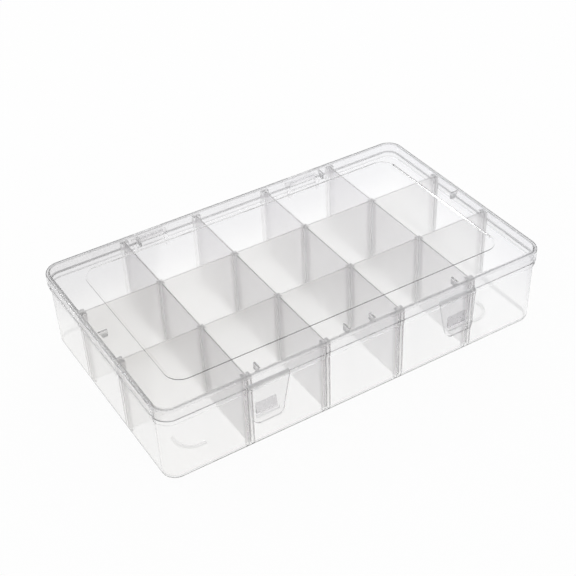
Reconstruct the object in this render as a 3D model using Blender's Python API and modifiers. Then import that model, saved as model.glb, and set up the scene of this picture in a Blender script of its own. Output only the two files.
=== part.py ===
"""Component storage box in translucent plastic, modelled in metres with +Z up.

A shallow tray carries slotted posts and wall channels. Thin dividers drop into them and make a
grid of small compartments. A lid with a sunk panel turns on two moulded pins at the back, and
two latch tabs on its front edge hang over catches on the tray.
The origin is at the middle of the box, on the surface that its feet stand on. The front is -Y.
"""

import math

import bmesh
import bpy
from mathutils import Matrix, Vector

# Clearances
FIT_GAP = 0.0003
CUT_OVERRUN = 0.002

# Overall sizes
LID_LENGTH = 0.275
LID_WIDTH = 0.165
BOX_HEIGHT = 0.0585

# Lid: a shallow tray upside down, with a panel sunk into its top
LID_WALL = 0.0012
LID_CORNER_RADIUS = 0.011
LID_EDGE_RADIUS = 0.0022
SKIRT_DEPTH = 0.0088
PANEL_INSET = 0.0203
PANEL_CORNER_RADIUS = 0.0095
PANEL_DEPTH = 0.0006

# Locating fins under the lid, just inside the tray's walls
FIN_THICKNESS = 0.0012
FIN_TOP_LENGTH = 0.006
FIN_FOOT_LENGTH = 0.003
FIN_DROP = 0.0048
FIN_WALL_GAP = 0.0011
FIN_OUTER_OFFSET = 0.071
FIN_INNER_OFFSET = 0.0092
END_FIN_OFFSET = 0.002

# Tray
TRAY_WALL = 0.0012
TRAY_WALL_LEAN = 0.0006
TRAY_EDGE_RADIUS = 0.0042
SHOULDER_HEIGHT = 0.0034
SHOULDER_PROUD = 0.0009
FOOT_HEIGHT = 0.0008
FOOT_WIDTH = 0.002
FOOT_RADIUS = 0.0125
FOOT_STRAIGHT = 0.0035
FOOT_PANEL_GAP = 0.0004

# Compartment grid
COLUMNS = 5
ROWS = 3
COLUMN_PITCH = 0.0535
ROW_PITCH = 0.053
SLOT_WIDTH = 0.0016
RIB_THICKNESS = 0.002
RIB_REACH = 0.0032
POST_WALL = 0.0013
POST_SLOT_DEPTH = 0.0009
DIVIDER_THICKNESS = 0.001
DIVIDER_CORNER_RADIUS = 0.0045

# Catches on the tray's front wall
CATCH_OFFSET = 0.0695
CATCH_WIDTH = 0.014
CATCH_HEIGHT = 0.0079
CATCH_STEP = 0.0022
CATCH_PROUD = 0.0013

# Latch tabs
LATCH_INNER_TOP = 0.054
LATCH_OUTER_TOP = 0.0815
LATCH_INNER_FOOT = 0.0595
LATCH_OUTER_FOOT = 0.0802
LATCH_LENGTH = 0.026
LATCH_THICKNESS = 0.0012
LATCH_STANDOFF = 0.0004
LATCH_CORNER_RADIUS = 0.0048
LATCH_LIP_HEIGHT = 0.0065
LATCH_LIP_FLARE = 0.0016
HOOK_WIDTH = 0.0155
HOOK_RISE = 0.0044
HOOK_HEIGHT = 0.0014
HOOK_DEPTH = 0.0005
LEDGE_HEIGHT = 0.0008
LEDGE_SLOPE = 0.0016

# Hinges at the back
HINGE_OFFSET = 0.06
HINGE_WIDTH = 0.025
HINGE_AXIS_BEHIND_LID = 0.0025
HINGE_AXIS_BELOW_SKIRT = 0.0002
PIN_RADIUS = 0.0012
EAR_THICKNESS = 0.0022
EAR_RADIUS = 0.002
EAR_ROOT_DROP = 0.0026
EAR_ROOT_HEIGHT = 0.0074
EAR_NOSE_START = math.radians(-70)
EAR_NOSE_END = math.radians(130)
CLIP_WALL = 0.0009
CLIP_ARM_HEIGHT = 0.002
CLIP_MOUTH_START = math.radians(-95)
CLIP_MOUTH_END = math.radians(-5)

# Smoothness of round shapes
CORNER_SEGMENTS = 6
EDGE_SEGMENTS = 3
LIP_SEGMENTS = 4
PIN_SEGMENTS = 16
FLAT_ANGLE = math.radians(1)
SAME_PLACE = FIT_GAP / 10

# Places that follow from the sizes
LID_HALF = Vector((LID_LENGTH / 2, LID_WIDTH / 2))
SKIRT_EDGE_Z = BOX_HEIGHT - SKIRT_DEPTH
LID_UNDERSIDE_Z = BOX_HEIGHT - LID_WALL
PANEL_UNDERSIDE_Z = LID_UNDERSIDE_Z - PANEL_DEPTH
PANEL_HALF = LID_HALF - Vector((PANEL_INSET, PANEL_INSET))
RIM_Z = LID_UNDERSIDE_Z - FIT_GAP
DIVIDER_TOP_Z = PANEL_UNDERSIDE_Z - FIT_GAP
FLOOR_Z = FOOT_HEIGHT + TRAY_WALL
RIM_INSET = LID_WALL + FIT_GAP
RIM_HALF = LID_HALF - Vector((RIM_INSET, RIM_INSET))
BASE_HALF = RIM_HALF - Vector((TRAY_WALL_LEAN, TRAY_WALL_LEAN))
TRAY_CORNER_RADIUS = LID_CORNER_RADIUS - RIM_INSET
POST_SIZE = SLOT_WIDTH + 2 * POST_WALL
COLUMN_LINES = [COLUMN_PITCH * (index - COLUMNS / 2) for index in range(1, COLUMNS)]
ROW_LINES = [ROW_PITCH * (index - ROWS / 2) for index in range(1, ROWS)]
HINGE_Y = LID_HALF.y + HINGE_AXIS_BEHIND_LID
HINGE_Z = SKIRT_EDGE_Z - HINGE_AXIS_BELOW_SKIRT
LATCH_INNER_Y = -LID_HALF.y - LATCH_STANDOFF
LATCH_AXIS_Y = LATCH_INNER_Y - LATCH_THICKNESS / 2
LATCH_AXIS_Z = SKIRT_EDGE_Z - FIT_GAP - LATCH_THICKNESS / 2
LATCH_FOOT_Z = LATCH_AXIS_Z - LATCH_LENGTH
LATCH_FLARE_Z = LATCH_FOOT_Z + LATCH_LIP_HEIGHT
HOOK_TIP_Z = LATCH_FOOT_Z + HOOK_RISE
CATCH_UNDERSIDE_Z = HOOK_TIP_Z + FIT_GAP
SIDES = (("left", -1), ("right", 1))

# Planes in which flat outlines are drawn: their two directions, then the thickness
ACROSS_X = Matrix(((0, 0, 1, 0), (1, 0, 0, 0), (0, 1, 0, 0), (0, 0, 0, 1)))
ACROSS_Y = Matrix(((1, 0, 0, 0), (0, 0, -1, 0), (0, 1, 0, 0), (0, 0, 0, 1)))

# Colours and finish of the plastic
TRAY_COLOUR = (0.90, 0.91, 0.91, 1.0)
LID_COLOUR = (0.93, 0.94, 0.95, 1.0)
DIVIDER_COLOUR = (0.86, 0.85, 0.85, 1.0)
LATCH_COLOUR = (0.93, 0.93, 0.94, 1.0)
MOULDED_ROUGHNESS = 0.25
PLASTIC_ALPHA = 0.4


def new_collection(name):
    collection = bpy.data.collections.new(name)
    bpy.context.scene.collection.children.link(collection)
    return collection


def plastic(name, colour):
    """Translucent moulded plastic."""
    material = bpy.data.materials.new(name)
    material.use_nodes = True
    shader = material.node_tree.nodes["Principled BSDF"]
    shader.inputs["Base Color"].default_value = colour
    shader.inputs["Roughness"].default_value = MOULDED_ROUGHNESS
    shader.inputs["Metallic"].default_value = 0
    shader.inputs["Alpha"].default_value = PLASTIC_ALPHA
    return material


def add_object(name, form, collection):
    """Turns a bmesh into an object of this collection."""
    mesh = bpy.data.meshes.new(name)
    form.to_mesh(mesh)
    form.free()
    body = bpy.data.objects.new(name, mesh)
    collection.objects.link(body)
    return body


def helper(body):
    """Marks a shape that only cuts or joins another."""
    body.hide_render = True
    body.display_type = "WIRE"
    return body


def block(form, low, high):
    """Adds a plain box to a bmesh, from its lowest corner to its highest."""
    low = Vector(low)
    high = Vector(high)
    place = Matrix.Translation((low + high) / 2) @ Matrix.Diagonal((high - low).to_4d())
    bmesh.ops.create_cube(form, size=1.0, matrix=place)


def rounded_form(half, z_low, z_high, radius, low_half=None):
    """A box with round upright edges. Its foot may be narrower than its top."""
    form = bmesh.new()
    block(form, (-half.x, -half.y, z_low), (half.x, half.y, z_high))
    upright = [edge for edge in form.edges if edge.verts[0].co.xy == edge.verts[1].co.xy]
    bmesh.ops.bevel(
        form,
        geom=upright,
        offset=radius,
        segments=CORNER_SEGMENTS,
        profile=0.5,
        affect="EDGES",
        clamp_overlap=True,
    )
    if low_half is not None:
        foot = [vertex for vertex in form.verts if vertex.co.z < (z_low + z_high) / 2]
        lean = (low_half.x / half.x, low_half.y / half.y, 1)
        bmesh.ops.scale(form, vec=lean, verts=foot)
    return form


def level_faces(form, z):
    """The flat faces of a form whose corners all lie at one height."""
    return [
        face
        for face in form.faces
        if all(abs(vertex.co.z - z) < SAME_PLACE for vertex in face.verts)
    ]


def round_level_edges(form, z, radius):
    """Rounds the edges around a form's top or bottom face."""
    edges = {edge for face in level_faces(form, z) for edge in face.edges}
    bmesh.ops.bevel(
        form,
        geom=list(edges),
        offset=radius,
        segments=EDGE_SEGMENTS,
        profile=0.5,
        affect="EDGES",
        clamp_overlap=True,
    )


def open_face(form, z):
    """Takes away the flat face at one height and leaves the walls."""
    bmesh.ops.delete(form, geom=level_faces(form, z), context="FACES_ONLY")


def band(name, half, z_low, z_high, radius, thickness, collection):
    """A ring of wall that follows a rounded rectangle, thickened towards the inside."""
    form = rounded_form(half, z_low, z_high, radius)
    open_face(form, z_low)
    open_face(form, z_high)
    ring = add_object(name, form, collection)
    thicken(ring, thickness)
    return ring


def thicken(body, thickness):
    """Gives an open surface its wall, on the inner side."""
    wall = body.modifiers.new("wall", "SOLIDIFY")
    wall.thickness = thickness
    wall.offset = -1
    wall.use_even_offset = True


def combine(body, operation, other):
    """Joins another object to this one, cuts it out, or keeps what they share."""
    boolean = body.modifiers.new(operation.lower() + "_" + other.name, "BOOLEAN")
    boolean.operation = operation
    boolean.object = other
    boolean.solver = "EXACT"


def plate(name, outline, thickness, plane, offset, collection):
    """A flat outline with thickness, as a mesh. Offset is its middle, across its plane."""
    curve = bpy.data.curves.new(name, "CURVE")
    curve.dimensions = "2D"
    curve.fill_mode = "BOTH"
    curve.extrude = thickness / 2
    spline = curve.splines.new("POLY")
    spline.points.add(len(outline) - 1)
    for point, (across, up) in zip(spline.points, outline):
        point.co = (across, up, 0, 1)
    spline.use_cyclic_u = True
    drawing = bpy.data.objects.new(name, curve)
    bpy.context.scene.collection.objects.link(drawing)
    bpy.context.view_layer.update()
    evaluated = drawing.evaluated_get(bpy.context.evaluated_depsgraph_get())
    flat = bpy.data.meshes.new_from_object(evaluated)
    form = bmesh.new()
    form.from_mesh(flat)
    bmesh.ops.remove_doubles(form, verts=form.verts, dist=SAME_PLACE / 10)
    bmesh.ops.dissolve_limit(
        form,
        angle_limit=FLAT_ANGLE,
        verts=form.verts,
        edges=form.edges,
    )
    bmesh.ops.transform(form, matrix=plane @ Matrix.Translation((0, 0, offset)), verts=form.verts)
    bmesh.ops.recalc_face_normals(form, faces=form.faces)
    bpy.data.objects.remove(drawing)
    bpy.data.curves.remove(curve)
    bpy.data.meshes.remove(flat)
    return add_object(name, form, collection)


def arc(centre, radius, start, end, segments):
    """Points along a round stretch of an outline."""
    angles = [start + (end - start) * step / segments for step in range(segments + 1)]
    return [
        (centre[0] + radius * math.cos(angle), centre[1] + radius * math.sin(angle))
        for angle in angles
    ]


def put_on_hinge(body, name, place, carrier=None):
    """Hangs a moving piece on an empty that stands on its joint's axis."""
    hinge = bpy.data.objects.new(name, None)
    hinge.location = place
    parts.objects.link(hinge)
    bpy.context.view_layer.update()
    if carrier:
        hinge.parent = carrier
        hinge.matrix_parent_inverse = carrier.matrix_world.inverted()
        bpy.context.view_layer.update()
    body.parent = hinge
    body.matrix_parent_inverse = hinge.matrix_world.inverted()
    return hinge


def post_outline():
    """A square post with a slot in each side, in plan."""
    edge = POST_SIZE / 2
    slot = SLOT_WIDTH / 2
    bottom = edge - POST_SLOT_DEPTH
    side = [(edge, -edge), (edge, -slot), (bottom, -slot), (bottom, slot), (edge, slot)]
    outline = []
    for quarter in range(4):
        turn = Matrix.Rotation(math.radians(90) * quarter, 2)
        outline += [turn @ Vector(corner) for corner in side]
    return outline


def build_posts_and_channels():
    """Slotted posts at the crossings, and a pair of ribs on the wall at each divider's end."""
    rib_centre = (SLOT_WIDTH + RIB_THICKNESS) / 2
    middle_z = (FOOT_HEIGHT + DIVIDER_TOP_Z) / 2
    height = DIVIDER_TOP_Z - FOOT_HEIGHT
    inner = RIM_HALF - Vector((TRAY_WALL + RIB_REACH, TRAY_WALL + RIB_REACH))
    form = bmesh.new()
    post = plate("post", post_outline(), height, Matrix(), middle_z, construction)
    for x in COLUMN_LINES:
        for y in ROW_LINES:
            standing = set(form.verts)
            form.from_mesh(post.data)
            added = [vertex for vertex in form.verts if vertex not in standing]
            bmesh.ops.translate(form, vec=(x, y, 0), verts=added)
    bpy.data.objects.remove(post)
    low_z = FOOT_HEIGHT
    for side in (-1, 1):
        for x in COLUMN_LINES:
            for centre in (x - rib_centre, x + rib_centre):
                ends = sorted((side * inner.y, side * LID_HALF.y))
                low = (centre - RIB_THICKNESS / 2, ends[0], low_z)
                high = (centre + RIB_THICKNESS / 2, ends[1], DIVIDER_TOP_Z)
                block(form, low, high)
        for y in ROW_LINES:
            for centre in (y - rib_centre, y + rib_centre):
                ends = sorted((side * inner.x, side * LID_HALF.x))
                low = (ends[0], centre - RIB_THICKNESS / 2, low_z)
                high = (ends[1], centre + RIB_THICKNESS / 2, DIVIDER_TOP_Z)
                block(form, low, high)
    ribs = helper(add_object("posts_and_channels", form, construction))

    # The ribs end half way through the walls and the floor, and follow their lean
    depth = TRAY_WALL / 2
    inset = Vector((depth, depth))
    core_form = rounded_form(
        RIM_HALF - inset,
        FOOT_HEIGHT + depth,
        RIM_Z,
        TRAY_CORNER_RADIUS - depth,
        BASE_HALF - inset,
    )
    round_level_edges(core_form, FOOT_HEIGHT + depth, TRAY_EDGE_RADIUS - depth)
    core = helper(add_object("tray_core", core_form, construction))
    combine(ribs, "INTERSECT", core)
    return ribs


def build_shoulder():
    """A thicker band round the tray, just under the lid's skirt."""
    top = SKIRT_EDGE_Z - FIT_GAP
    proud = Vector((SHOULDER_PROUD, SHOULDER_PROUD))
    thickness = SHOULDER_PROUD + TRAY_WALL_LEAN / 2 + TRAY_WALL / 2
    radius = TRAY_CORNER_RADIUS + SHOULDER_PROUD
    half = RIM_HALF + proud
    ring = band("shoulder", half, top - SHOULDER_HEIGHT, top, radius, thickness, construction)
    return helper(ring)


def build_feet():
    """Four corner feet under the floor, which drop into the sunk panel of a box below."""
    gap = Vector((FOOT_PANEL_GAP, FOOT_PANEL_GAP))
    half = PANEL_HALF - gap
    top = FOOT_HEIGHT + TRAY_WALL / 2
    feet = helper(band("feet", half, 0, top, FOOT_RADIUS, FOOT_WIDTH, construction))
    kept = FOOT_RADIUS + FOOT_STRAIGHT
    reach = half + Vector((CUT_OVERRUN, CUT_OVERRUN))
    low_z = -CUT_OVERRUN
    high_z = top + CUT_OVERRUN
    form = bmesh.new()
    block(form, (kept - half.x, -reach.y, low_z), (half.x - kept, reach.y, high_z))
    long_gap = helper(add_object("gap_between_feet_along", form, construction))
    form = bmesh.new()
    block(form, (-reach.x, kept - half.y, low_z), (reach.x, half.y - kept, high_z))
    short_gap = helper(add_object("gap_between_feet_across", form, construction))
    combine(feet, "DIFFERENCE", long_gap)
    combine(feet, "DIFFERENCE", short_gap)
    return feet


def front_wall_y(z):
    """Where the tray's front wall has its outer face at one height."""
    rise = (z - FOOT_HEIGHT) / (RIM_Z - FOOT_HEIGHT)
    return -(BASE_HALF.y + TRAY_WALL_LEAN * rise)


def build_catch(name, centre_x):
    """A wedge on the front wall. It is flush at its top and ends in a ledge underneath."""
    root = -(BASE_HALF.y - TRAY_WALL / 2)
    tip = front_wall_y(CATCH_UNDERSIDE_Z) - CATCH_PROUD
    top = CATCH_UNDERSIDE_Z + CATCH_HEIGHT
    outline = [
        (root, CATCH_UNDERSIDE_Z),
        (root, top),
        (front_wall_y(top), top),
        (tip, CATCH_UNDERSIDE_Z + CATCH_STEP),
        (tip, CATCH_UNDERSIDE_Z),
    ]
    return helper(plate(name, outline, CATCH_WIDTH, ACROSS_X, centre_x, construction))


def build_ear(name, centre_x):
    """One of the two ears that hold a hinge pin behind the tray."""
    root = RIM_HALF.y - TRAY_WALL / 2
    centre = Vector((HINGE_Y, HINGE_Z))
    nose = arc(centre, EAR_RADIUS, EAR_NOSE_START, EAR_NOSE_END, CORNER_SEGMENTS)
    root_top = HINGE_Z - EAR_ROOT_DROP
    outline = [(root, root_top - EAR_ROOT_HEIGHT)] + nose + [(root, root_top)]
    return helper(plate(name, outline, EAR_THICKNESS, ACROSS_X, centre_x, construction))


def build_pin(name, centre_x):
    """A round pin between two ears, moulded with them."""
    form = bmesh.new()
    turn = Matrix.Rotation(math.radians(90), 4, "Y")
    bmesh.ops.create_cone(
        form,
        cap_ends=True,
        segments=PIN_SEGMENTS,
        radius1=PIN_RADIUS,
        radius2=PIN_RADIUS,
        depth=HINGE_WIDTH - EAR_THICKNESS,
        matrix=Matrix.Translation((centre_x, HINGE_Y, HINGE_Z)) @ turn,
    )
    return helper(add_object(name, form, construction))


def build_tray():
    """The tray: one moulding with its posts, channels, shoulder, feet, catches and hinge pins."""
    form = rounded_form(RIM_HALF, FOOT_HEIGHT, RIM_Z, TRAY_CORNER_RADIUS, BASE_HALF)
    round_level_edges(form, FOOT_HEIGHT, TRAY_EDGE_RADIUS)
    open_face(form, RIM_Z)
    tray = add_object("base_tray", form, parts)
    thicken(tray, TRAY_WALL)
    combine(tray, "UNION", build_posts_and_channels())
    combine(tray, "UNION", build_shoulder())
    combine(tray, "UNION", build_feet())
    for side_name, side in SIDES:
        combine(tray, "UNION", build_catch("catch_" + side_name, side * CATCH_OFFSET))
        ear_shift = (HINGE_WIDTH - EAR_THICKNESS) / 2
        for end_name, end in SIDES:
            ear_x = side * HINGE_OFFSET + end * ear_shift
            combine(tray, "UNION", build_ear("ear_" + side_name + "_" + end_name, ear_x))
        combine(tray, "UNION", build_pin("pin_" + side_name, side * HINGE_OFFSET))
    tray.data.materials.append(plastic("tray_plastic", TRAY_COLOUR))


def build_divider(name, low, high, leaning_sides):
    """A thin upright wall. An end that meets a tray wall leans with it and has a round foot."""
    form = bmesh.new()
    block(form, low, high)
    axis = 0 if high[0] - low[0] > high[1] - low[1] else 1
    middle = (low[axis] + high[axis]) / 2
    for side in leaning_sides:
        ends = [v for v in form.verts if (v.co[axis] - middle) * side > 0]
        foot = [v for v in ends if v.co.z < (low[2] + high[2]) / 2]
        lean = Vector((0, 0, 0))
        lean[axis] = -side * TRAY_WALL_LEAN
        bmesh.ops.translate(form, vec=lean, verts=foot)
        corner = [edge for edge in form.edges if set(edge.verts) == set(foot)]
        bmesh.ops.bevel(
            form,
            geom=corner,
            offset=DIVIDER_CORNER_RADIUS,
            segments=EDGE_SEGMENTS,
            profile=0.5,
            affect="EDGES",
            clamp_overlap=True,
        )
    divider = add_object(name, form, parts)
    divider.data.materials.append(divider_plastic)


def build_dividers():
    """One divider for each side between two compartments, each lifting out of its slots."""
    half = DIVIDER_THICKNESS / 2
    foot_z = FLOOR_Z + FIT_GAP
    wall = RIM_HALF - Vector((TRAY_WALL + FIT_GAP, TRAY_WALL + FIT_GAP))
    post_slot = POST_SIZE / 2 - POST_SLOT_DEPTH + FIT_GAP
    column_stops = [-wall.x] + COLUMN_LINES + [wall.x]
    row_stops = [-wall.y] + ROW_LINES + [wall.y]
    for column, x in enumerate(COLUMN_LINES, 1):
        for row in range(ROWS):
            low_end = row_stops[row] + (post_slot if row > 0 else 0)
            high_end = row_stops[row + 1] - (post_slot if row < ROWS - 1 else 0)
            leaning = [side for side, at_wall in ((-1, row == 0), (1, row == ROWS - 1)) if at_wall]
            name = "cross_divider_" + str(column) + "_" + str(row + 1)
            low = (x - half, low_end, foot_z)
            high = (x + half, high_end, DIVIDER_TOP_Z)
            build_divider(name, low, high, leaning)
    for row, y in enumerate(ROW_LINES, 1):
        for column in range(COLUMNS):
            low_end = column_stops[column] + (post_slot if column > 0 else 0)
            high_end = column_stops[column + 1] - (post_slot if column < COLUMNS - 1 else 0)
            ends = ((-1, column == 0), (1, column == COLUMNS - 1))
            leaning = [side for side, at_wall in ends if at_wall]
            name = "long_divider_" + str(row) + "_" + str(column + 1)
            low = (low_end, y - half, foot_z)
            high = (high_end, y + half, DIVIDER_TOP_Z)
            build_divider(name, low, high, leaning)


def build_fins():
    """Thin fins under the lid. Their outer edges slope, so the lid can swing up past the wall."""
    long_wall = RIM_HALF.y - TRAY_WALL - FIN_WALL_GAP
    end_wall = RIM_HALF.x - TRAY_WALL - FIT_GAP
    top = LID_UNDERSIDE_Z + LID_WALL / 2
    foot = LID_UNDERSIDE_Z - FIN_DROP
    fins = []
    outer_offsets = (-FIN_OUTER_OFFSET, FIN_OUTER_OFFSET)
    inner_offsets = (-FIN_INNER_OFFSET, FIN_INNER_OFFSET)
    places = [(ACROSS_X, -long_wall, offset) for offset in outer_offsets + inner_offsets]
    places += [(ACROSS_X, long_wall, offset) for offset in outer_offsets]
    places += [(ACROSS_Y, side * end_wall, -END_FIN_OFFSET) for side in (-1, 1)]
    for index, (plane, outer, offset) in enumerate(places, 1):
        inward = -math.copysign(1, outer)
        outline = [
            (outer, top),
            (outer, LID_UNDERSIDE_Z),
            (outer + inward * (FIN_TOP_LENGTH - FIN_FOOT_LENGTH), foot),
            (outer + inward * FIN_TOP_LENGTH, foot),
            (outer + inward * FIN_TOP_LENGTH, top),
        ]
        name = "fin_" + str(index)
        fins.append(helper(plate(name, outline, FIN_THICKNESS, plane, offset, construction)))
    return fins


def build_latch_ledge(name, side):
    """A small ledge on the skirt that carries a latch's thin hinge line."""
    root = -LID_HALF.y + LID_WALL / 2
    outer = LATCH_INNER_Y - LATCH_THICKNESS
    outline = [
        (root, SKIRT_EDGE_Z),
        (outer, SKIRT_EDGE_Z),
        (outer, SKIRT_EDGE_Z + LEDGE_HEIGHT),
        (-LID_HALF.y, SKIRT_EDGE_Z + LEDGE_HEIGHT + LEDGE_SLOPE),
        (root, SKIRT_EDGE_Z + LEDGE_HEIGHT + LEDGE_SLOPE),
    ]
    width = LATCH_OUTER_TOP - LATCH_INNER_TOP
    centre = side * (LATCH_OUTER_TOP + LATCH_INNER_TOP) / 2
    return helper(plate(name, outline, width, ACROSS_X, centre, construction))


def build_clip(name, centre_x):
    """An open ring that snaps over a hinge pin, and the arm that joins it to the skirt."""
    inner = PIN_RADIUS + FIT_GAP
    outer = inner + CLIP_WALL
    centre = (HINGE_Y, HINGE_Z)
    width = HINGE_WIDTH - 2 * (EAR_THICKNESS + FIT_GAP)
    start = CLIP_MOUTH_END
    end = CLIP_MOUTH_START + math.radians(360)
    outside = arc(centre, outer, start, end, PIN_SEGMENTS)
    inside = arc(centre, inner, end, start, PIN_SEGMENTS)
    ring = helper(
        plate(name + "_ring", outside + inside, width, ACROSS_X, centre_x, construction)
    )
    form = bmesh.new()
    arm_end = HINGE_Y - inner - CLIP_WALL / 2
    low = (centre_x - width / 2, LID_HALF.y - LID_WALL / 2, SKIRT_EDGE_Z)
    high = (centre_x + width / 2, arm_end, SKIRT_EDGE_Z + CLIP_ARM_HEIGHT)
    block(form, low, high)
    arm = helper(add_object(name + "_arm", form, construction))
    return [ring, arm]


def build_lid():
    """The lid: a skirted cover with its sunk panel, fins, latch ledges and hinge clips."""
    form = rounded_form(LID_HALF, SKIRT_EDGE_Z, BOX_HEIGHT, LID_CORNER_RADIUS)
    round_level_edges(form, BOX_HEIGHT, LID_EDGE_RADIUS)
    lid = add_object("lid", form, parts)
    wall = Vector((LID_WALL, LID_WALL))
    below = SKIRT_EDGE_Z - CUT_OVERRUN
    form = rounded_form(LID_HALF - wall, below, LID_UNDERSIDE_Z, LID_CORNER_RADIUS - LID_WALL)
    combine(lid, "DIFFERENCE", helper(add_object("lid_cavity", form, construction)))
    low = PANEL_UNDERSIDE_Z
    middle = (LID_UNDERSIDE_Z + BOX_HEIGHT) / 2
    radius = PANEL_CORNER_RADIUS + LID_WALL
    form = rounded_form(PANEL_HALF + wall, low, middle, radius)
    combine(lid, "UNION", helper(add_object("panel_underside", form, construction)))
    sunk = BOX_HEIGHT - PANEL_DEPTH
    form = rounded_form(PANEL_HALF, sunk, BOX_HEIGHT + CUT_OVERRUN, PANEL_CORNER_RADIUS)
    combine(lid, "DIFFERENCE", helper(add_object("panel_recess", form, construction)))
    additions = build_fins()
    for side_name, side in SIDES:
        additions.append(build_latch_ledge("latch_ledge_" + side_name, side))
        additions += build_clip("clip_" + side_name, side * HINGE_OFFSET)
    for addition in additions:
        combine(lid, "UNION", addition)
    lid.data.materials.append(plastic("lid_plastic", LID_COLOUR))
    return put_on_hinge(lid, "lid_hinge_axis", (0, HINGE_Y, HINGE_Z))


def lip_flare(z):
    """How far a latch tab's lip has curved outwards at one height."""
    share = max(0, (LATCH_FLARE_Z - z) / LATCH_LIP_HEIGHT)
    return LATCH_LIP_FLARE * share ** 2


def latch_profile():
    """A latch tab from its side: a round bead at its hinge line and a curved lip at its foot."""
    outer_y = LATCH_INNER_Y - LATCH_THICKNESS
    bead_centre = (LATCH_AXIS_Y, LATCH_AXIS_Z)
    bead = arc(bead_centre, LATCH_THICKNESS / 2, 0, math.radians(180), CORNER_SEGMENTS)
    heights = [
        LATCH_FLARE_Z - LATCH_LIP_HEIGHT * step / LIP_SEGMENTS for step in range(LIP_SEGMENTS + 1)
    ]
    outer = [(outer_y - lip_flare(z), z) for z in heights]
    inner = [(LATCH_INNER_Y - lip_flare(z), z) for z in reversed(heights)]
    return bead + outer + inner


def rounded_corner(before, corner, after, radius):
    """The arc that rounds one corner of an outline."""
    before = (Vector(before) - Vector(corner)).normalized()
    after = (Vector(after) - Vector(corner)).normalized()
    half_angle = before.angle(after) / 2
    middle = (before + after).normalized()
    centre = Vector(corner) + middle * radius / math.sin(half_angle)
    start = Vector(corner) + before * radius / math.tan(half_angle) - centre
    sweep = start.angle_signed(Vector(corner) + after * radius / math.tan(half_angle) - centre)
    start_angle = math.atan2(start.y, start.x)
    return arc(centre, radius, start_angle, start_angle - sweep, CORNER_SEGMENTS)


def latch_outline(side):
    """A latch tab from the front: its edges slope, and its lower corners are round."""
    top = LATCH_AXIS_Z + LATCH_THICKNESS
    foot = LATCH_FOOT_Z
    corners = [
        (side * LATCH_INNER_TOP, top),
        (side * LATCH_INNER_FOOT, foot),
        (side * LATCH_OUTER_FOOT, foot),
        (side * LATCH_OUTER_TOP, top),
    ]
    outline = [corners[0]]
    for before, corner, after in zip(corners, corners[1:], corners[2:]):
        outline += rounded_corner(before, corner, after, LATCH_CORNER_RADIUS)
    return outline + [corners[3]]


def hook_outline():
    """The ridge behind a latch tab's lip, from its side. Its tip stands just below the catch."""
    tip_y = LATCH_INNER_Y + HOOK_DEPTH
    root_z = HOOK_TIP_Z - HOOK_HEIGHT - HOOK_DEPTH
    return [
        (LATCH_AXIS_Y, LATCH_FLARE_Z),
        (tip_y, HOOK_TIP_Z),
        (tip_y, HOOK_TIP_Z - HOOK_HEIGHT),
        (LATCH_AXIS_Y - lip_flare(root_z), root_z),
    ]


def build_latch(side_name, side, lid_hinge):
    """A latch tab on the lid's front edge, with a low hook that holds under the catch."""
    width = LATCH_OUTER_TOP - LATCH_INNER_TOP + CUT_OVERRUN
    centre = side * (LATCH_OUTER_TOP + LATCH_INNER_TOP) / 2
    name = "latch_" + side_name
    latch = plate(name, latch_profile(), width, ACROSS_X, centre, parts)
    depth = 2 * (LATCH_LIP_FLARE + LATCH_THICKNESS + CUT_OVERRUN)
    outline = latch_outline(side)
    front = plate(name + "_outline", outline, depth, ACROSS_Y, -LATCH_AXIS_Y, construction)
    combine(latch, "INTERSECT", helper(front))
    hook_x = side * CATCH_OFFSET
    hook = plate(name + "_hook", hook_outline(), HOOK_WIDTH, ACROSS_X, hook_x, construction)
    combine(latch, "UNION", helper(hook))
    latch.data.materials.append(plastic(name + "_plastic", LATCH_COLOUR))
    put_on_hinge(latch, name + "_axis", (0, LATCH_AXIS_Y, LATCH_AXIS_Z), lid_hinge)


for leftover in list(bpy.data.objects):
    bpy.data.objects.remove(leftover)
parts = new_collection("component_storage_box")
construction = new_collection("construction_shapes")
divider_plastic = plastic("divider_plastic", DIVIDER_COLOUR)

build_tray()
build_dividers()
lid_axis = build_lid()
for latch_side, latch_sign in SIDES:
    build_latch(latch_side, latch_sign, lid_axis)
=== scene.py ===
import math

import bmesh
import bpy
from mathutils import Matrix, Vector


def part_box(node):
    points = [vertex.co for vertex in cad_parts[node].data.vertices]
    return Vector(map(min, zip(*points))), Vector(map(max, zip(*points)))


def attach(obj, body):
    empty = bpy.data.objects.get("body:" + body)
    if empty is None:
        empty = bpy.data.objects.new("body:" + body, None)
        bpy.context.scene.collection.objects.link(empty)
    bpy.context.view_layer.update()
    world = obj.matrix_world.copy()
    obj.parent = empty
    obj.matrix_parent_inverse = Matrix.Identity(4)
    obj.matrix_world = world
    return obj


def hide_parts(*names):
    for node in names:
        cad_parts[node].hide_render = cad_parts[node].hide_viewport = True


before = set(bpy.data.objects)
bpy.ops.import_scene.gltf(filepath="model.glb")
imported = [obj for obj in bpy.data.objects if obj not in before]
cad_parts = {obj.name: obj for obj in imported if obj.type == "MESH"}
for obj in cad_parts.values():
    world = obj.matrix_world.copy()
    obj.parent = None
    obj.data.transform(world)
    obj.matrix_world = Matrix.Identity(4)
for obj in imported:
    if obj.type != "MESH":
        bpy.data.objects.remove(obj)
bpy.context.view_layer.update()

# Base tray: one injection moulding in clear plastic. Its thin walls lean a little for the mould.
# Slotted posts and pairs of ribs stand on its floor to hold the dividers, and a thicker band runs
# round it under the lid.
tray_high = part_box("base_tray")[1]
lid_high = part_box("lid")[1]
TRAY_RIM = Vector((0.136, 0.081))
TRAY_LEAN = 0.0006
TRAY_WALL = 0.0012
TRAY_CORNER = 0.0095
TRAY_FOOT_ROUNDING = 0.0042
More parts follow.
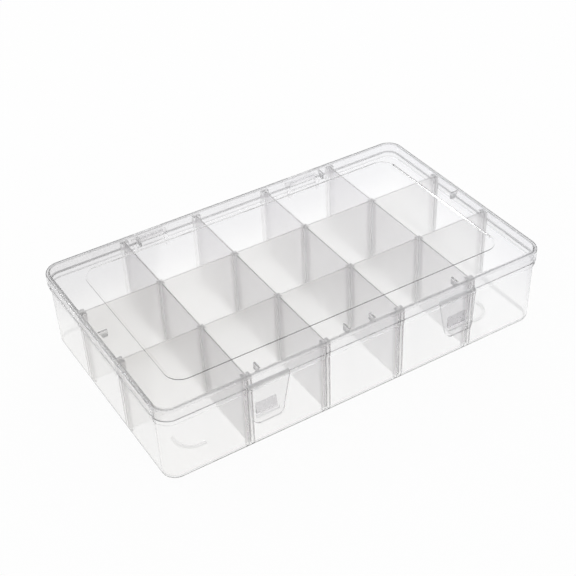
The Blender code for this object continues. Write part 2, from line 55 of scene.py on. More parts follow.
FOOT_SHADE_LINE = (0.4, 0.8)
TRAY_UNDERSIDE_Z = 0.0008
RIM_ROUNDING = 0.0003
CORNER_STEPS = 14
EDGE_STEPS = 5
ARC_STEPS = 12
SHARP_ABOVE = math.radians(35)
SHOULDER_TOP_Z = 0.0494
SHOULDER_HEIGHT = 0.0034
SHOULDER_PROUD = 0.0009
SHOULDER_ROUNDING = 0.0003
DARK_LINE_HEIGHT = 0.0007
FOOT_RING = Vector((0.1168, 0.0618))
FOOT_RING_CORNER = 0.0125
FOOT_RING_WIDTH = 0.002
FOOT_REACH = 0.016
COLUMN_LINES = (-0.08025, -0.02675, 0.02675, 0.08025)
ROW_LINES = (-0.0265, 0.0265)
DIVIDER_TOP_Z = 0.0564
SLOT_WIDTH = 0.0016
RIB_THICKNESS = 0.002
RIB_REACH = 0.0032
RIB_ROUNDING = 0.0004
POST_SIZE = 0.0042
POST_SLOT_DEPTH = 0.0009
POST_ROUNDING = 0.00022
CATCH_X = 0.0695
CATCH_WIDTH = 0.014
CATCH_TOP_Z = 0.0354
CATCH_STEP_Z = 0.0297
CATCH_UNDERSIDE_Z = 0.0275
CATCH_PROUD = 0.0013
HINGE_X = 0.06
HINGE_WIDTH = 0.025
HINGE_Y = 0.085
HINGE_Z = 0.0495
PIN_RADIUS = 0.0012
PIN_SIDES = 32
EAR_THICKNESS = 0.0022
EAR_RADIUS = 0.002
EAR_NOSE = (-70, 130)
EAR_ROOT_TOP_Z = 0.0469
EAR_ROOT_LOW_Z = 0.0395
OVERRUN = 0.002
SAME_PLACE = 0.00003
FACES_DOWN = 0.9
FACES_FRONT = 0.1
QUARTER_TURN = math.radians(90)
ZONES = WALL, THICK, EDGE, STEP = range(4)
CATCH = STEP
PLASTIC_BEND = 1.25
# Painted shade: every plastic is tinted darker and warmer towards its left end.
LEFT_SHADE_LENGTH = 0.275
LEFT_SHADE_TINT = (0.988, 0.985, 0.979)
CLOUD_SCALE = 22.0
CLOUD_DETAIL = 3.0
CLOUD_SHARE = 0.4
GRAIN_SCALE = 900.0
GRAIN_DETAIL = 2.0
RIPPLE = 0.03
RIPPLE_DEPTH = 0.00005
COLOUR_A, COLOUR_B, COLOUR_OUT = 6, 7, 2
ALONG_X = Matrix(((0, 0, 1, 0), (1, 0, 0, 0), (0, 1, 0, 0), (0, 0, 0, 1)))
ALONG_Y = Matrix(((1, 0, 0, 0), (0, 0, -1, 0), (0, 1, 0, 0), (0, 0, 0, 1)))


def round_edges(form, edges, radius, steps, zone=None):
    """Rounds edges of a form, and gives the new faces to one zone of its plastic."""
    made = bmesh.ops.bevel(
        form,
        geom=list(edges),
        offset=radius,
        segments=steps,
        profile=0.5,
        affect="EDGES",
        material=-1,
        clamp_overlap=True,
    )
    if zone is not None:
        for face in made["faces"]:
            face.material_index = zone
    return made["faces"]


def level_faces(form, z):
    return [f for f in form.faces if all(abs(v.co.z - z) < SAME_PLACE for v in f.verts)]


def rounded_block(half, z_low, z_high, corner, foot_half=None, zone=WALL):
    """A block with round upright edges, whose foot may be narrower than its top."""
    size = Vector((2 * half.x, 2 * half.y, z_high - z_low))
    place = Matrix.Translation((0, 0, (z_low + z_high) / 2)) @ Matrix.Diagonal(size.to_4d())
    form = bmesh.new()
    bmesh.ops.create_cube(form, size=1.0, matrix=place)
    upright = [e for e in form.edges if (e.verts[0].co - e.verts[1].co).xy.length < SAME_PLACE]
    round_edges(form, upright, corner, CORNER_STEPS)
    if foot_half is not None:
        foot = [v for v in form.verts if v.co.z < (z_low + z_high) / 2]
        bmesh.ops.scale(form, vec=(foot_half.x / half.x, foot_half.y / half.y, 1), verts=foot)
    for face in form.faces:
        face.material_index = zone
    return form


def box_into(form, low, high, zone):
    """Adds a plain box to a form and gives back its vertices."""
    low, high = Vector(low), Vector(high)
    place = Matrix.Translation((low + high) / 2) @ Matrix.Diagonal((high - low).to_4d())
    made = bmesh.ops.create_cube(form, size=1.0, matrix=place)["verts"]
    for face in {face for vertex in made for face in vertex.link_faces}:
        face.material_index = zone
    return made


def shape(name, form):
    """Turns a form into an object of the scene, with an empty slot for each zone's plastic."""
    mesh = bpy.data.meshes.new(name)
    form.to_mesh(mesh)
    form.free()
    for zone in ZONES:
        mesh.materials.append(None)
    made = bpy.data.objects.new(name, mesh)
    bpy.context.scene.collection.objects.link(made)
    return made


def slice_of(name, outline, thickness, plane, offset, zone):
    """A flat outline with thickness. Offset is its middle, across its plane."""
    form = bmesh.new()
    corners = [form.verts.new((across, up, -thickness / 2)) for across, up in outline]
    face = form.faces.new(corners)
    grown = bmesh.ops.extrude_face_region(form, geom=[face])["geom"]
    far = [part for part in grown if isinstance(part, bmesh.types.BMVert)]
    bmesh.ops.translate(form, vec=(0, 0, thickness), verts=far)
    bmesh.ops.transform(form, matrix=plane @ Matrix.Translation((0, 0, offset)), verts=form.verts)
    bmesh.ops.recalc_face_normals(form, faces=form.faces)
    for face in form.faces:
        face.material_index = zone
    return shape(name, form)


def arc(centre, radius, start, end, steps):
    """Points on a round stretch of an outline. Angles are in degrees."""
    angles = [math.radians(start + (end - start) * step / steps) for step in range(steps + 1)]
    return [(centre[0] + radius * math.cos(a), centre[1] + radius * math.sin(a)) for a in angles]


def worked(piece, steps):
    """Cuts, joins or intersects a piece with others, which are then used up."""
    for operation, other in steps:
        change = piece.modifiers.new(other.name, "BOOLEAN")
        change.operation = operation
        change.object = other
        change.solver = "EXACT"
    bpy.context.view_layer.update()
    result = piece.evaluated_get(bpy.context.evaluated_depsgraph_get())
    mesh = bpy.data.meshes.new_from_object(result)
    piece.modifiers.clear()
    piece.data = mesh
    for operation, other in steps:
        bpy.data.objects.remove(other)
    return piece


def smooth(piece):
    piece.data.shade_smooth()
    piece.data.set_sharp_from_angle(angle=SHARP_ABOVE)
    even = piece.modifiers.new("flat_faces_stay_flat", "WEIGHTED_NORMAL")
    even.mode = "FACE_AREA"
    even.weight = 100
    even.keep_sharp = True


def tub():
    """The tray's shell: an outer and an inner skin, joined at a rounded rim."""
    wall = Vector((TRAY_WALL, TRAY_WALL))
    lean = Vector((TRAY_LEAN, TRAY_LEAN))
    outer = rounded_block(TRAY_RIM, TRAY_UNDERSIDE_Z, tray_high.z, TRAY_CORNER, TRAY_RIM - lean)
    floor_z = TRAY_UNDERSIDE_Z + TRAY_WALL
    inner_rim = TRAY_RIM - wall
    inner_corner = TRAY_CORNER - TRAY_WALL
    inner = rounded_block(inner_rim, floor_z, tray_high.z, inner_corner, inner_rim - lean)
    skins = ((outer, TRAY_UNDERSIDE_Z, 0), (inner, floor_z, TRAY_WALL))
    for form, low_z, depth in skins:
        low_edges = {edge for face in level_faces(form, low_z) for edge in face.edges}
        rounding = round_edges(form, low_edges, TRAY_FOOT_ROUNDING - depth, EDGE_STEPS)
        # Painted shade: a band of the outer foot rounding, facing partly down, takes the dark edge
        # tint for the dark line where the wall meets the floor.
        for face in rounding:
            if depth == 0 and FOOT_SHADE_LINE[0] < -face.normal.z < FOOT_SHADE_LINE[1]:
                face.material_index = EDGE
        bmesh.ops.delete(form, geom=level_faces(form, tray_high.z), context="FACES_ONLY")
    bmesh.ops.reverse_faces(inner, faces=inner.faces)
    skin = bpy.data.meshes.new("inner_skin")
    inner.to_mesh(skin)
    inner.free()
    outer.from_mesh(skin)
    bpy.data.meshes.remove(skin)
    open_edges = [edge for edge in outer.edges if edge.is_boundary]
    rim = bmesh.ops.bridge_loops(outer, edges=open_edges)["faces"]
    for face in rim:
        face.material_index = EDGE
    bmesh.ops.recalc_face_normals(outer, faces=outer.faces)
    round_edges(outer, open_edges, RIM_ROUNDING, 2, EDGE)
    return shape("tray", outer)


def ribs():
    """A pair of ribs on the wall at each divider's end, with round edges."""
    form = bmesh.new()
    centre = (SLOT_WIDTH + RIB_THICKNESS) / 2
    inner = TRAY_RIM - Vector((TRAY_WALL + RIB_REACH, TRAY_WALL + RIB_REACH))
    for side in (-1, 1):
        for shift in (-centre, centre):
            for x in COLUMN_LINES:
                ends = sorted((side * inner.y, side * lid_high.x))
                low = (x + shift - RIB_THICKNESS / 2, ends[0], TRAY_UNDERSIDE_Z)
                box_into(form, low, (low[0] + RIB_THICKNESS, ends[1], DIVIDER_TOP_Z), THICK)
            for y in ROW_LINES:
                ends = sorted((side * inner.x, side * lid_high.x))
                low = (ends[0], y + shift - RIB_THICKNESS / 2, TRAY_UNDERSIDE_Z)
                box_into(form, low, (ends[1], low[1] + RIB_THICKNESS, DIVIDER_TOP_Z), THICK)
    free = [
        edge
        for edge in form.edges
        if (edge.verts[0].co - edge.verts[1].co).xy.length < SAME_PLACE
        and (abs(abs(edge.verts[0].co.x) - inner.x) < SAME_PLACE
             or abs(abs(edge.verts[0].co.y) - inner.y) < SAME_PLACE)
    ]
    round_edges(form, free, RIB_ROUNDING, 2)
    for face in level_faces(form, DIVIDER_TOP_Z):
        face.material_index = EDGE
    made = shape("ribs", form)
    depth = TRAY_WALL / 2
    inset = Vector((depth, depth))
    low_z = TRAY_UNDERSIDE_Z + depth
    foot_half = TRAY_RIM - inset - Vector((TRAY_LEAN, TRAY_LEAN))
    core = rounded_block(TRAY_RIM - inset, low_z, tray_high.z, TRAY_CORNER - depth, foot_half)
    low_edges = {edge for face in level_faces(core, low_z) for edge in face.edges}
    round_edges(core, low_edges, TRAY_FOOT_ROUNDING - depth, EDGE_STEPS)
    return worked(made, [("INTERSECT", shape("rib_trim", core))])


def posts():
    """Square posts with a slot in each side, at the crossings of the dividers."""
    edge, slot = POST_SIZE / 2, SLOT_WIDTH / 2
    bottom = edge - POST_SLOT_DEPTH
    side = [(edge, -edge), (edge, -slot), (bottom, -slot), (bottom, slot), (edge, slot)]
    outline = [
        Matrix.Rotation(QUARTER_TURN * quarter, 2) @ Vector(corner)
        for quarter in range(4)
        for corner in side
    ]
    form = bmesh.new()
    low_z = TRAY_UNDERSIDE_Z + TRAY_WALL / 2
    for x in COLUMN_LINES:
        for y in ROW_LINES:
            ring = [form.verts.new((x + corner.x, y + corner.y, low_z)) for corner in outline]
            foot = form.faces.new(ring)
            grown = bmesh.ops.extrude_face_region(form, geom=[foot])["geom"]
            far = [part for part in grown if isinstance(part, bmesh.types.BMVert)]
            bmesh.ops.translate(form, vec=(0, 0, DIVIDER_TOP_Z - low_z), verts=far)
    bmesh.ops.recalc_face_normals(form, faces=form.faces)
    for face in form.faces:
        face.material_index = THICK
    tops = level_faces(form, DIVIDER_TOP_Z)
    round_edges(form, {edge for face in tops for edge in face.edges}, POST_ROUNDING, 2, EDGE)
    for face in level_faces(form, DIVIDER_TOP_Z):
        face.material_index = EDGE
    return shape("posts", form)


def dark_line_strip(form, z):
    """Gives the sides below one height to the edge's plastic, whose dark tint paints a shade line
    along the foot of a band.
    """
    parts = list(form.verts) + list(form.edges) + list(form.faces)
    bmesh.ops.bisect_plane(form, geom=parts, plane_co=(0, 0, z), plane_no=(0, 0, 1))
    for face in form.faces:
        if face.calc_center_median().z < z and abs(face.normal.z) < FACES_DOWN:
            face.material_index = EDGE


def ring_band(name, half, z_low, z_high, corner, width, rounding, zone):
    """A ring of wall that follows a rounded rectangle, with rounded outer edges."""
    form = rounded_block(half, z_low, z_high, corner, zone=zone)
    flat = level_faces(form, z_low) + level_faces(form, z_high)
    round_edges(form, {edge for face in flat for edge in face.edges}, rounding, 2, EDGE)
    dark_line_strip(form, z_low + DARK_LINE_HEIGHT)
    for face in level_faces(form, z_high):
        face.material_index = EDGE
    inset = Vector((width, width))
    core = rounded_block(half - inset, z_low - OVERRUN, z_high + OVERRUN, corner - width, zone=zone)
    return worked(shape(name, form), [("DIFFERENCE", shape(name + "_core", core))])


def feet():
    """Four low corner feet, which drop into the sunk panel of a box below."""
    top = TRAY_UNDERSIDE_Z + TRAY_WALL / 2
    ring = ring_band(
        "feet", FOOT_RING, 0, top, FOOT_RING_CORNER, FOOT_RING_WIDTH, RIM_ROUNDING, EDGE
    )
    gaps = bmesh.new()
    kept = FOOT_RING - Vector((FOOT_REACH, FOOT_REACH))
    reach = FOOT_RING + Vector((OVERRUN, OVERRUN))
    box_into(gaps, (-kept.x, -reach.y, -OVERRUN), (kept.x, reach.y, top + OVERRUN), THICK)
    across = bmesh.new()
    box_into(across, (-reach.x, -kept.y, -OVERRUN), (reach.x, kept.y, top + OVERRUN), THICK)
    cuts = [("DIFFERENCE", shape("foot_gap_1", gaps)), ("DIFFERENCE", shape("foot_gap_2", across))]
    return worked(ring, cuts)


def front_wall_y(z):
    rise = (z - TRAY_UNDERSIDE_Z) / (tray_high.z - TRAY_UNDERSIDE_Z)
    return -(TRAY_RIM.y - TRAY_LEAN * (1 - rise))


def catch(side):
    """A wedge on the front wall that a latch tab's hook holds under."""
    root = -(TRAY_RIM.y - TRAY_LEAN - TRAY_WALL / 2)
    tip = front_wall_y(CATCH_UNDERSIDE_Z) - CATCH_PROUD
    outline = [
        (root, CATCH_UNDERSIDE_Z),
        (root, CATCH_TOP_Z),
        (front_wall_y(CATCH_TOP_Z), CATCH_TOP_Z),
        (tip, CATCH_STEP_Z),
        (tip, CATCH_UNDERSIDE_Z),
    ]
    wedge = slice_of("catch", outline, CATCH_WIDTH, ALONG_X, side * CATCH_X, WALL)
    # The front and underside faces take the catch's dark tint, which is painted shade.
    for face in wedge.data.polygons:
        if face.normal.y < -FACES_FRONT or face.normal.z < -FACES_DOWN:
            face.material_index = CATCH
    return wedge


def hinge_ears(side):
    """Two ears with a round pin between them, behind the tray."""
    root = TRAY_RIM.y - TRAY_WALL / 2
    nose = arc((HINGE_Y, HINGE_Z), EAR_RADIUS, *EAR_NOSE, ARC_STEPS)
    outline = [(root, EAR_ROOT_LOW_Z)] + nose + [(root, EAR_ROOT_TOP_Z)]
    shift = (HINGE_WIDTH - EAR_THICKNESS) / 2
    made = [
        slice_of("ear", outline, EAR_THICKNESS, ALONG_X, side * HINGE_X + end * shift, THICK)
        for end in (-1, 1)
    ]
    form = bmesh.new()
    bmesh.ops.create_cone(
        form,
        cap_ends=True,
        segments=PIN_SIDES,
        radius1=PIN_RADIUS,
        radius2=PIN_RADIUS,
        depth=HINGE_WIDTH - EAR_THICKNESS,
        matrix=Matrix.Translation((side * HINGE_X, HINGE_Y, HINGE_Z))
        @ Matrix.Rotation(QUARTER_TURN, 4, "Y"),
    )
    for face in form.faces:
        face.material_index = THICK
    return made + [shape("pin", form)]


class Value:
    """A number that varies over a surface. Sums and products of such numbers add Math nodes."""

    def __init__(self, finish, socket):
        self.finish = finish
        self.socket = socket

    def maths(self, operation, first, second):
        return self.finish.value("ShaderNodeMath", {"operation": operation}, {0: first, 1: second})

    def __add__(self, other):
        return self.maths("ADD", self, other)

    def __radd__(self, other):
        return self.maths("ADD", other, self)

    def __sub__(self, other):
        return self.maths("SUBTRACT", self, other)

    def __rsub__(self, other):
        return self.maths("SUBTRACT", other, self)

    def __mul__(self, other):
        return self.maths("MULTIPLY", self, other)

    def __rmul__(self, other):
        return self.maths("MULTIPLY", other, self)

    def larger(self, other):
        return self.maths("MAXIMUM", self, other)


class Finish:
    """A material in the making, around one Principled shader."""

    def __init__(self, name):
        self.material = bpy.data.materials.new(name)
        self.material.use_nodes = True
        self.tree = self.material.node_tree
        self.shader = self.tree.nodes["Principled BSDF"]

    def node(self, kind, settings=None, inputs=None):
        made = self.tree.nodes.new(kind)
        for name, setting in (settings or {}).items():
            setattr(made, name, setting)
        self.fill(made, inputs or {})
        return made

    def fill(self, node, inputs):
        for name, given in inputs.items():
            given = given.socket if isinstance(given, Value) else given
            if isinstance(given, bpy.types.NodeSocket):
                self.tree.links.new(given, node.inputs[name])
            else:
                node.inputs[name].default_value = given

    def value(self, kind, settings=None, inputs=None, output=0):
        return Value(self, self.node(kind, settings, inputs).outputs[output])


def clear_plastic(name, top_tint, foot_tint, span, roughness, bend=PLASTIC_BEND):
    """Clear plastic. Its tint changes softly from the foot of a piece to its top, which is painted
    shade, and darkens a little towards the left end, which is painted shade too. The surface has a
    faint ripple and a fine grain. Bend is how much it bends light, which is less than in real
    plastic, so that stacked thin walls stay pale."""
    finish = Finish(name)
    place = finish.node("ShaderNodeTexCoord").outputs["Object"]
    height = finish.value("ShaderNodeSeparateXYZ", None, {0: place}, "Z")
    along = finish.value("ShaderNodeSeparateXYZ", None, {0: place}, "X")
    rise = finish.value(
        "ShaderNodeMapRange",
        {"interpolation_type": "SMOOTHSTEP"},
        {"Value": height, "From Min": span[0], "From Max": span[1]},
    )
    cloud = finish.value(
        "ShaderNodeTexNoise",
        None,
        {"Vector": place, "Scale": CLOUD_SCALE, "Detail": CLOUD_DETAIL},
    )
    grain = finish.value(
        "ShaderNodeTexNoise",
        None,
        {"Vector": place, "Scale": GRAIN_SCALE, "Detail": GRAIN_DETAIL},
    )
    # Painted shade: the tint goes from the foot tint to the top tint with height, with a random
    # cloud in it.
    shade = finish.node(
        "ShaderNodeMix",
        {"data_type": "RGBA", "blend_type": "MIX"},
        {
            "Factor": rise + (cloud - 0.5) * CLOUD_SHARE,
            COLOUR_A: (*foot_tint, 1.0),
            COLOUR_B: (*top_tint, 1.0),
        },
    ).outputs[COLOUR_OUT]
    # Painted shade, darker and warmer towards the left end.
    painted_left_shade = finish.node(
        "ShaderNodeMix",
        {"data_type": "RGBA", "blend_type": "MULTIPLY"},
        {
            "Factor": 0.5 - along * (1 / LEFT_SHADE_LENGTH),
            COLOUR_A: shade,
            COLOUR_B: (*LEFT_SHADE_TINT, 1.0),
        },
    ).outputs[COLOUR_OUT]
    bump = finish.node(
        "ShaderNodeBump", None, {"Strength": RIPPLE, "Distance": RIPPLE_DEPTH, "Height": cloud}
    ).outputs[0]
    finish.fill(
        finish.shader,
        {
            "Base Color": painted_left_shade,
            "Roughness": roughness + (grain - 0.5) * roughness,
            "IOR": bend,
            "Transmission Weight": 1.0,
            "Normal": bump,
        },
    )
    return finish.material


def dress(piece, materials):
    for zone in ZONES:
        piece.data.materials[zone] = materials[min(zone, len(materials) - 1)]


joined = [("UNION", ribs()), ("UNION", posts()), ("UNION", feet())]
shoulder = ring_band(
    "shoulder",
    TRAY_RIM + Vector((SHOULDER_PROUD, SHOULDER_PROUD)),
    SHOULDER_TOP_Z - SHOULDER_HEIGHT,
    SHOULDER_TOP_Z,
    TRAY_CORNER + SHOULDER_PROUD,
    SHOULDER_PROUD + TRAY_WALL / 2,
    SHOULDER_ROUNDING,
    WALL,
)
joined.append(("UNION", shoulder))
for side in (-1, 1):
    joined += [("UNION", part) for part in [catch(side)] + hinge_ears(side)]
tray = worked(tub(), joined)
smooth(tray)
# Each plastic's tint goes from its foot tint to its top tint over its span, which is painted shade.
TRAY_SPAN = (0.0, 0.056)
tray_wall = clear_plastic(
    "tray_wall",
    top_tint=(0.98, 0.98, 0.985),
    foot_tint=(0.988, 0.988, 0.988),
    span=TRAY_SPAN,
    roughness=0.12,
)
tray_thick = clear_plastic(
    "tray_thick",
    top_tint=(0.975, 0.97, 0.977),
    foot_tint=(0.985, 0.985, 0.985),
    span=TRAY_SPAN,
    roughness=0.5,
)
# Painted shade: the rim, a band of the foot rounding, the feet, the shoulder's edges and top, and
# the tops of the posts and ribs take this dark tint for the dark lines along them.
tray_edge_shade = clear_plastic(
    "tray_edge_shade",
    top_tint=(0.6, 0.6, 0.61),
    foot_tint=(0.72, 0.72, 0.72),
    span=TRAY_SPAN,
    roughness=0.4,
)
# Painted shade: the catch's front and underside are tinted dark for the shade seen at the catch
# through the latch tab.
tray_catch_shade = clear_plastic(
    "tray_catch_shade",
    top_tint=(0.62, 0.61, 0.63),
    foot_tint=(0.62, 0.61, 0.63),
    span=TRAY_SPAN,
    roughness=0.3,
)
dress(tray, [tray_wall, tray_thick, tray_edge_shade, tray_catch_shade])
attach(tray, "base")
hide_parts("base_tray")

# Dividers: thin flat sheets of the same plastic, frosted on both faces. They were cut to length and
# dropped into the slots, so each one stands a fit gap away from its posts and ribs.
SHEET_ROUNDING = 0.00015
SHEET_SHARP = math.radians(40)
WELD_DISTANCE = SAME_PLACE / 10
FLAT = math.radians(1)
SHEET_SPAN = (0.0, 0.056)
SHEET_TOP_SPAN = (0.05, 0.056)
# Painted shade: the top faces and rounded top edges of the dividers are tinted dark near the top
# for the dark lines along them.
sheet_edge_shade = clear_plastic(
    "sheet_edge_shade",
    top_tint=(0.72, 0.71, 0.72),
    foot_tint=(0.96, 0.96, 0.96),
    span=SHEET_TOP_SPAN,
    roughness=0.4,
)
# Painted shade: both kinds of divider are the same plastic, but the long dividers, which face the
# front, get a darker tint than the cross dividers for the light falling differently on them.
cross_face_lit = clear_plastic(
    "cross_face_lit",
    top_tint=(0.968, 0.958, 0.972),
    foot_tint=(0.985, 0.98, 0.985),
    span=SHEET_SPAN,
    roughness=0.35,
)
long_face_shaded = clear_plastic(
    "long_face_shaded",
    top_tint=(0.918, 0.913, 0.908),
    foot_tint=(0.98, 0.978, 0.975),
    span=SHEET_SPAN,
    roughness=0.35,
)


def sheet(node):
    """A divider with its edges rounded, in the place of its node."""
    form = bmesh.new()
    form.from_mesh(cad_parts[node].data)
    bmesh.ops.remove_doubles(form, verts=form.verts, dist=WELD_DISTANCE)
    bmesh.ops.dissolve_limit(form, angle_limit=FLAT, verts=form.verts, edges=form.edges)
    for face in form.faces:
        face.material_index = 0
    top = max(vertex.co.z for vertex in form.verts)
    for face in level_faces(form, top):
        face.material_index = 1
    sharp = [edge for edge in form.edges if edge.calc_face_angle(0) > SHEET_SHARP]
    round_edges(form, sharp, SHEET_ROUNDING, 2, 1)
    made = shape(node + "_sheet", form)
    smooth(made)
    dress(made, [cross_face_lit if "cross" in node else long_face_shaded, sheet_edge_shade])
    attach(made, "base")
    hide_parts(node)


for node in sorted(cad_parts):
    if "divider" in node:
        sheet(node)

# Lid: a shallow moulding with a skirt that drops over the tray's rim. Its top has a sunk panel for
# the feet of a box above. Eight small fins under it find the tray's walls, a ledge on the skirt
# carries each latch tab, and open clips at the back snap over the hinge pins.
LID_HALF = Vector((lid_high.x, 0.0825))
LID_WALL = 0.0012
LID_CORNER = 0.011
LID_EDGE = 0.0022
SKIRT_Z = 0.0497
PANEL_HALF = Vector((0.1172, 0.0622))
PANEL_CORNER = 0.0095
PANEL_DEPTH = 0.0006
PANEL_SLOPE = 0.0008
PANEL_SLOPE_OUTSIDE = 0.6
FIN_THICKNESS = 0.0012
FIN_TOP_LENGTH = 0.006
FIN_FOOT_LENGTH = 0.003
FIN_DROP = 0.0048
LONG_FIN_START = 0.0787
END_FIN_START = 0.1345
FRONT_FIN_PLACES = (-0.071, -0.0092, 0.0092, 0.071)
BACK_FIN_PLACES = (-0.071, 0.071)
END_FIN_PLACE = -0.002
LEDGE_OUTER_Y = -0.0841
LEDGE_HEIGHT = 0.0008
LEDGE_SLOPE = 0.0016
TAB_INNER_TOP = 0.054
TAB_OUTER_TOP = 0.0815
CLIP_GAP = 0.0003
CLIP_WALL = 0.0009
CLIP_ROUND = (-5, 265)
CLIP_STEPS = 24
CLIP_ARM = 0.002


def lid_cover():
    """The cover with its skirt: a block with round top edges, hollowed from below."""
    form = rounded_block(LID_HALF, SKIRT_Z, lid_high.z, LID_CORNER)
    top_edges = {edge for face in level_faces(form, lid_high.z) for edge in face.edges}
    round_edges(form, top_edges, LID_EDGE, EDGE_STEPS, EDGE)
    dark_line_strip(form, SKIRT_Z + DARK_LINE_HEIGHT)
    underside = lid_high.z - LID_WALL
    wall = Vector((LID_WALL, LID_WALL))
    cavity = rounded_block(LID_HALF - wall, SKIRT_Z - OVERRUN, underside, LID_CORNER - LID_WALL)
    inner_edges = {edge for face in level_faces(cavity, underside) for edge in face.edges}
    round_edges(cavity, inner_edges, LID_EDGE - LID_WALL, EDGE_STEPS)
    cover = worked(shape("lid_cover", form), [("DIFFERENCE", shape("cavity", cavity))])
    for face in cover.data.polygons:
        if face.normal.z < -FACES_DOWN and face.center.z < SKIRT_Z + SAME_PLACE:
            face.material_index = EDGE
    return cover


def panel_recess():
    """What the sunk panel takes away. Its sides slope outwards, up to the lid's top."""
    low_z = lid_high.z - PANEL_DEPTH
    rise = (PANEL_DEPTH + OVERRUN) / PANEL_DEPTH
    slope = Vector((PANEL_SLOPE, PANEL_SLOPE))
    foot = PANEL_HALF - slope * (1 - PANEL_SLOPE_OUTSIDE)
    top = foot + slope * rise
    form = rounded_block(top, low_z, lid_high.z + OVERRUN, PANEL_CORNER, foot, STEP)
    for face in level_faces(form, low_z):
        face.material_index = WALL
    return shape("panel_recess", form)


def fins():
    """Thin fins with sloping outer edges, which let the lid swing up past the wall."""
    top = lid_high.z - LID_WALL / 2
    under = lid_high.z - LID_WALL
    places = [(ALONG_X, -LONG_FIN_START, x) for x in FRONT_FIN_PLACES]
    places += [(ALONG_X, LONG_FIN_START, x) for x in BACK_FIN_PLACES]
    places += [(ALONG_Y, side * END_FIN_START, END_FIN_PLACE) for side in (-1, 1)]
    made = []
    for plane, outer, offset in places:
        inward = -math.copysign(1, outer)
        slope = inward * (FIN_TOP_LENGTH - FIN_FOOT_LENGTH)
        outline = [
            (outer, top),
            (outer, under),
            (outer + slope, under - FIN_DROP),
            (outer + inward * FIN_TOP_LENGTH, under - FIN_DROP),
            (outer + inward * FIN_TOP_LENGTH, top),
        ]
        made.append(slice_of("fin", outline, FIN_THICKNESS, plane, offset, EDGE))
    return made


def ledge(side):
    """A small ledge on the skirt that carries a latch tab's thin hinge line."""
    root = -LID_HALF.y + LID_WALL / 2
    outline = [
        (root, SKIRT_Z),
        (LEDGE_OUTER_Y, SKIRT_Z),
        (LEDGE_OUTER_Y, SKIRT_Z + LEDGE_HEIGHT),
        (-LID_HALF.y, SKIRT_Z + LEDGE_HEIGHT + LEDGE_SLOPE),
        (root, SKIRT_Z + LEDGE_HEIGHT + LEDGE_SLOPE),
    ]
    width = TAB_OUTER_TOP - TAB_INNER_TOP
    middle = side * (TAB_OUTER_TOP + TAB_INNER_TOP) / 2
    return slice_of("ledge", outline, width, ALONG_X, middle, THICK)


def hinge_clip(side):
    """An open ring that snaps over a hinge pin, and the arm that joins it to the skirt."""
    inner = PIN_RADIUS + CLIP_GAP
    outer = inner + CLIP_WALL
    centre = (HINGE_Y, HINGE_Z)
    width = HINGE_WIDTH - 2 * (EAR_THICKNESS + CLIP_GAP)
    outline = arc(centre, outer, *CLIP_ROUND, CLIP_STEPS)
    outline += arc(centre, inner, *reversed(CLIP_ROUND), CLIP_STEPS)
    ring = slice_of("clip", outline, width, ALONG_X, side * HINGE_X, THICK)
    arm = bmesh.new()
    low = (side * HINGE_X - width / 2, LID_HALF.y - LID_WALL / 2, SKIRT_Z)
    high = (side * HINGE_X + width / 2, HINGE_Y - inner - CLIP_WALL / 2, SKIRT_Z + CLIP_ARM)
    box_into(arm, low, high, THICK)
    return [ring, shape("clip_arm", arm)]


panel_half = PANEL_HALF + Vector((LID_WALL, LID_WALL))
panel_low = lid_high.z - LID_WALL - PANEL_DEPTH
underside = rounded_block(panel_half, panel_low, lid_high.z - LID_WALL / 2, PANEL_CORNER + LID_WALL)
lid_steps = [("UNION", shape("panel_underside", underside)), ("DIFFERENCE", panel_recess())]
lid_steps += [("UNION", fin) for fin in fins()]
for side in (-1, 1):
    lid_steps += [("UNION", part) for part in [ledge(side)] + hinge_clip(side)]
lid = worked(lid_cover(), lid_steps)
lid.name = "lid_moulding"
smooth(lid)
LID_SPAN = (0.0497, 0.058)
LID_BEND = 1.36
lid_wall = clear_plastic(
    "lid_wall",
    top_tint=(0.98, 0.98, 0.985),
    foot_tint=(0.985, 0.985, 0.99),
    span=LID_SPAN,
    roughness=0.06,
    bend=LID_BEND,
)
lid_thick = clear_plastic(
    "lid_thick",
    top_tint=(0.97, 0.97, 0.98),
    foot_tint=(0.97, 0.97, 0.98),
    span=LID_SPAN,
    roughness=0.4,
)
# Painted shade: the rounded top edge, the skirt's underside and foot strip and the fins take this
# tint, which darkens to a near-black line at the skirt's foot.
lid_edge_shade = clear_plastic(
    "lid_edge_shade",
    top_tint=(0.985, 0.985, 0.99),
    foot_tint=(0.26, 0.26, 0.27),
    span=LID_SPAN,
    roughness=0.3,
    bend=LID_BEND,
)
# Painted shade: the sloping sides of the sunk panel are tinted a little darker for the dark line
# along them; their white line comes from the strip light.
lid_step = clear_plastic(
    "lid_step",
    top_tint=(0.91, 0.91, 0.915),
    foot_tint=(0.91, 0.91, 0.915),
    span=LID_SPAN,
    roughness=0.1,
    bend=LID_BEND,
)
dress(lid, [lid_wall, lid_thick, lid_edge_shade, lid_step])
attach(lid, "lid")
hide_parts("lid")

# Latch tabs: two small clear tabs that hang from the lid's front edge. Each has a bead along its
# hinge line, a lip that curls away from the wall for a fingertip, and a low hook behind the lip.
TAB_THICKNESS = 0.0012
TAB_INNER_Y = -0.0829
TAB_AXIS_Y = TAB_INNER_Y - TAB_THICKNESS / 2
TAB_AXIS_Z = 0.0488
TAB_FOOT_Z = 0.0228
TAB_INNER_FOOT = 0.0595
TAB_OUTER_FOOT = 0.0802
TAB_CORNER = 0.0048
LIP_HEIGHT = 0.0065
LIP_FLARE = 0.0016
LIP_STEPS = 10
BEAD_ROUND = (0, 180)
HOOK_WIDTH = 0.0155
HOOK_TOP_Z = 0.0272
HOOK_HEIGHT = 0.0014
HOOK_DEPTH = 0.0005


